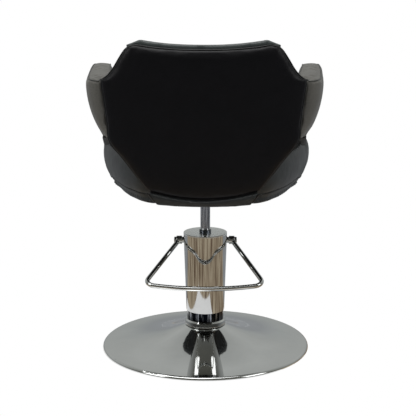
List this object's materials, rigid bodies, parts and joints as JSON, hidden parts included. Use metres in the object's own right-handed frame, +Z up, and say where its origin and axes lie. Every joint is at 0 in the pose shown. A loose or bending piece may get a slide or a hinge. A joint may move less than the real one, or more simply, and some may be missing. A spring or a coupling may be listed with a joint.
{
  "type": "hairdressing chair",
  "caption": "Hairdressing chair with a padded tub seat on a chromed hydraulic pump, a stirrup pedal and a round foot.",
  "frame": {"origin": "on the floor, under the pump's axis", "axes": "+Z up along the pump's axis, -Y towards the seat's front, +X towards the sitter's left-hand arm"},
  "size_m": [0.674, 0.6, 0.907],
  "materials": {
    "chrome": "polished",
    "cover_chrome": "polished",
    "cast_iron": "matte",
    "plain_steel": "satin",
    "black_paint": "satin",
    "bronze": "satin",
    "rubber": "matte",
    "black_board": "satin",
    "black_leatherette": "satin",
    "dark_leatherette": "satin",
    "grey_leatherette": "satin"
  },
  "bodies": {
    "pump": {"base_gasket": "rubber", "base_disc": "chrome", "base_weight": "cast_iron", "base_bolts": "plain_steel", "pump_flange": "chrome", "oil_tank": "chrome", "tank_seal": "rubber", "ram_cylinder": "plain_steel", "pump_head": "cast_iron", "rod_bush": "bronze", "cap_spacer": "plain_steel", "pump_cover": "cover_chrome", "cover_cap": "chrome", "rod_wiper": "rubber", "shaft_bushes": "bronze", "return_spring": "plain_steel", "plunger_barrel": "plain_steel", "valve_ball": "plain_steel"},
    "pedal": {"pedal_shaft": "chrome", "pedal_stirrup": "chrome", "pump_crank": "plain_steel", "crank_pin": "plain_steel", "shaft_circlips": "plain_steel"},
    "plunger": {"pump_plunger": "plain_steel"},
    "ram": {"ram_piston": "plain_steel", "piston_seal": "rubber", "thrust_ring": "bronze"},
    "seat": {"ram_rod": "chrome", "seat_hub": "black_paint", "mount_plate": "black_paint", "mount_bolts": "plain_steel", "seat_board": "black_board", "seat_box": "dark_leatherette", "seat_cushion": "black_leatherette", "arm_board_left": "black_board", "arm_board_right": "black_board", "arm_pad_left": "grey_leatherette", "arm_pad_right": "grey_leatherette", "arm_lining_left": "dark_leatherette", "arm_lining_right": "dark_leatherette", "back_board": "black_board", "back_cushion": "grey_leatherette", "back_shield": "black_leatherette", "back_strip": "dark_leatherette"}
  },
  "joints": [
    {"name": "lift", "type": "slide", "parent": "pump", "child": "ram", "axis": [0, 0, 1], "range_m": [-0.065, 0.085]},
    {"name": "swivel", "type": "hinge", "parent": "ram", "child": "seat", "pos_m": [0, 0, 0.18], "axis": [0, 0, 1], "continuous": true},
    {"name": "pedal_press", "type": "hinge", "parent": "pump", "child": "pedal", "pos_m": [0, -0.03, 0.309], "axis": [-1, 0, 0], "range_deg": [0, 24], "stiffness_Nm_per_rad": 8, "springref_deg": -22.92},
    {"name": "plunger_stroke", "type": "slide", "parent": "pump", "child": "plunger", "axis": [0, 0, -1], "range_m": [0, 0.0086]}
  ],
  "couplings": [
    {"joint": "plunger_stroke", "follows": "pedal_press", "m_per_rad": 0.02}
  ]
}
